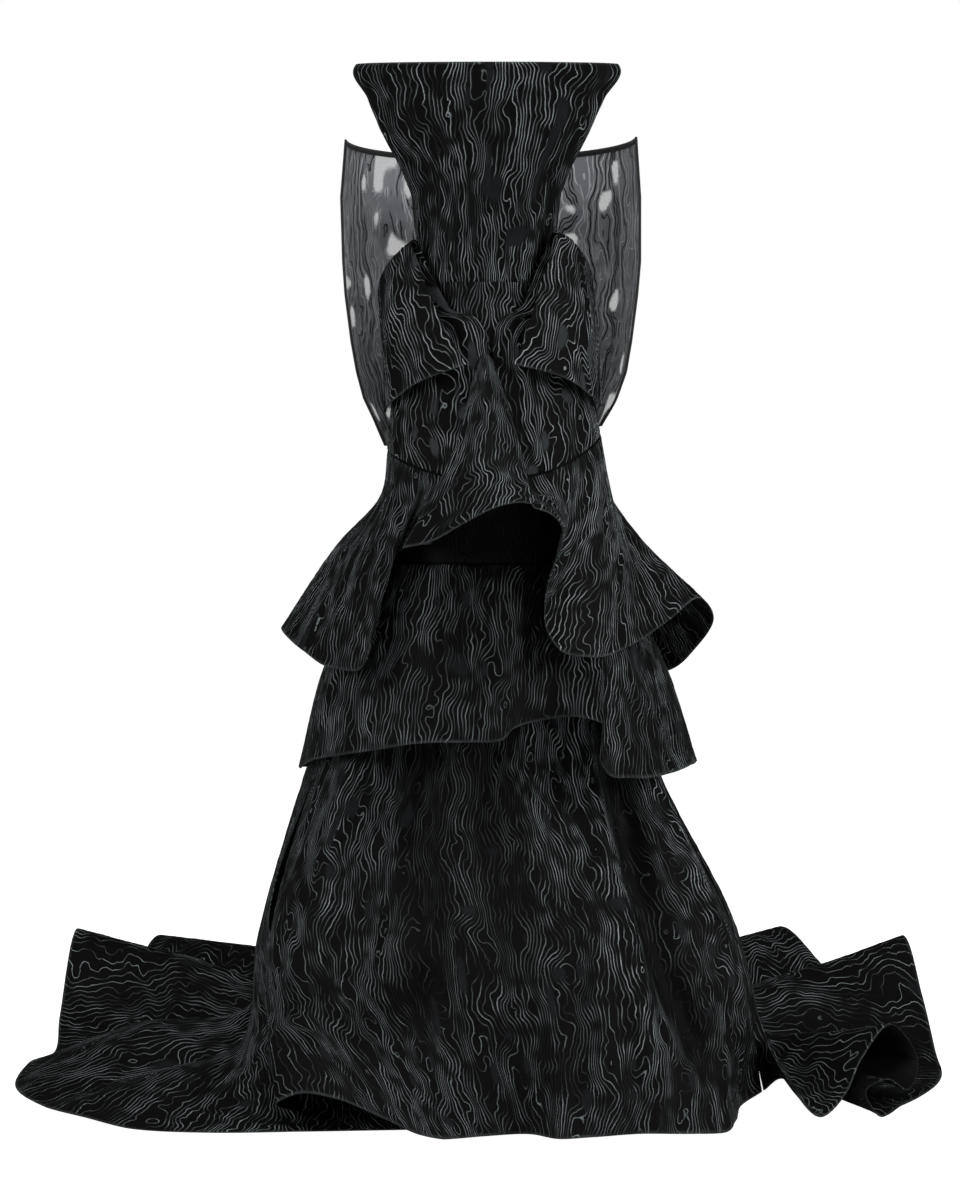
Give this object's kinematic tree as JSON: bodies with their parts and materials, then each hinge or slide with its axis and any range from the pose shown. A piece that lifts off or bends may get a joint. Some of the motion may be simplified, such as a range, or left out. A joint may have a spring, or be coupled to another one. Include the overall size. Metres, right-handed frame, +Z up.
{
  "type": "evening gown",
  "caption": "Black crinkled evening gown in worn form: fan-shaped strapless bodice, sheer back shield, folded hip petals, flared peplum, tier and long trained skirt.",
  "frame": {"origin": "centre of the waist, 1.12 m above the floor, where the wearer holds the gown up", "axes": "+Z up, front faces -Y, +X to the right of someone who looks at the front"},
  "size_m": [1.3997, 1.452, 1.4928],
  "materials": {
    "cloque": "black crinkled double cloth, soft dull sheen on the ridges",
    "sheer_cloque": "sheer grey single layer with dark and light crinkle lines",
    "binding": "matte black tape"
  },
  "bodies": {
    "root": {"bodice_front": "cloque", "bodice_back": "cloque", "midriff_front": "cloque", "hip_yoke": "cloque", "back_shield": "sheer_cloque", "shield_binding_left": "binding", "shield_binding_right": "binding", "shield_binding_top": "binding", "hip_petal_left": "cloque", "hip_petal_right": "cloque", "centre_godet": "cloque", "peplum_left": "cloque", "peplum_right": "cloque", "peplum_back": "cloque", "tier_front": "cloque", "tier_back": "cloque", "skirt_front": "cloque", "skirt_train_left": "cloque", "skirt_train_right": "cloque"}
  },
  "joints": []
}
